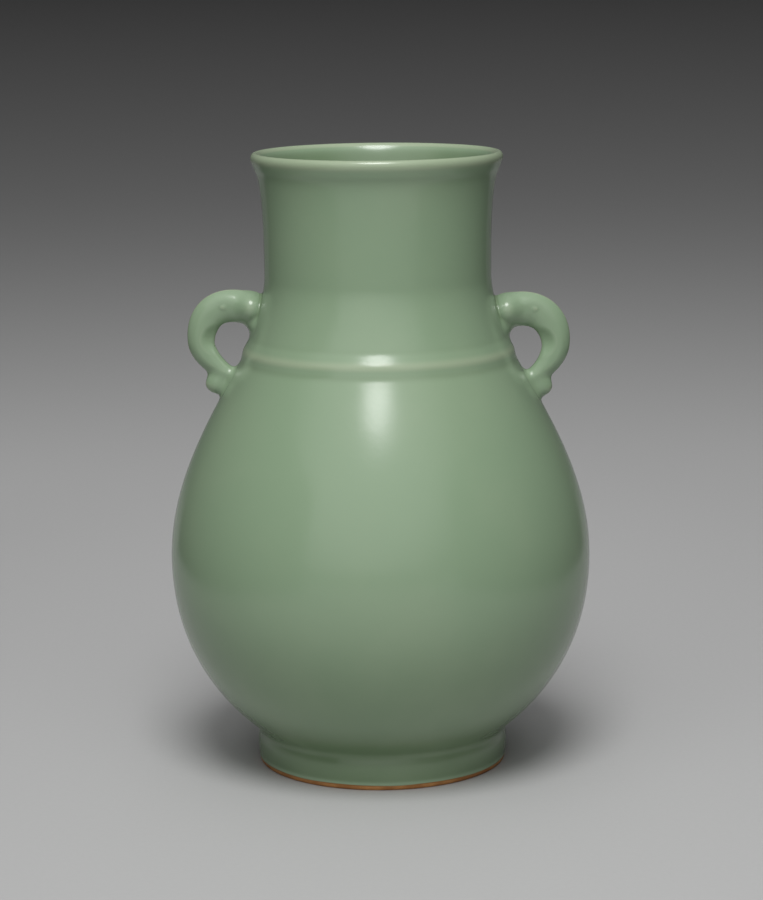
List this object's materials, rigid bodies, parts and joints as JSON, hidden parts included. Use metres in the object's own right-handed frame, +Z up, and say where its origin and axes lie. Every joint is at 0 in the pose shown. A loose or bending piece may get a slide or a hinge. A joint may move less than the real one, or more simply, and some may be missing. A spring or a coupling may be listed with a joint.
{
  "type": "hu vase",
  "caption": "Pear-shaped celadon vase with a flaring neck, raised shoulder rib, trunk-shaped side handles and a turned foot with a bare brown rim.",
  "frame": {"origin": "centre of the plane that the foot rim rests on", "axes": "+Z up along the axis of the vase, handles along -X and +X, front towards -Y"},
  "size_m": [0.2188, 0.2188, 0.32],
  "materials": {
    "celadon_glaze": "smooth satin-gloss green celadon glaze, paler where it thins over the lip, rib and handles",
    "inner_glaze": "the same glaze over the slip that covers the inner seams",
    "bare_rim": "unglazed foot rim, dressed iron brown, matt and slightly gritty"
  },
  "bodies": {
    "root": {"foot_rim": "bare_rim", "foot_ring": "celadon_glaze", "lower_bowl": "celadon_glaze", "upper_belly": "celadon_glaze", "shoulder_rib": "celadon_glaze", "neck": "celadon_glaze", "lip": "celadon_glaze", "left_handle": "celadon_glaze", "right_handle": "celadon_glaze", "left_upper_slip": "celadon_glaze", "left_lower_slip": "celadon_glaze", "right_upper_slip": "celadon_glaze", "right_lower_slip": "celadon_glaze", "belly_seam_slip": "inner_glaze", "neck_seam_slip": "inner_glaze"}
  },
  "joints": []
}
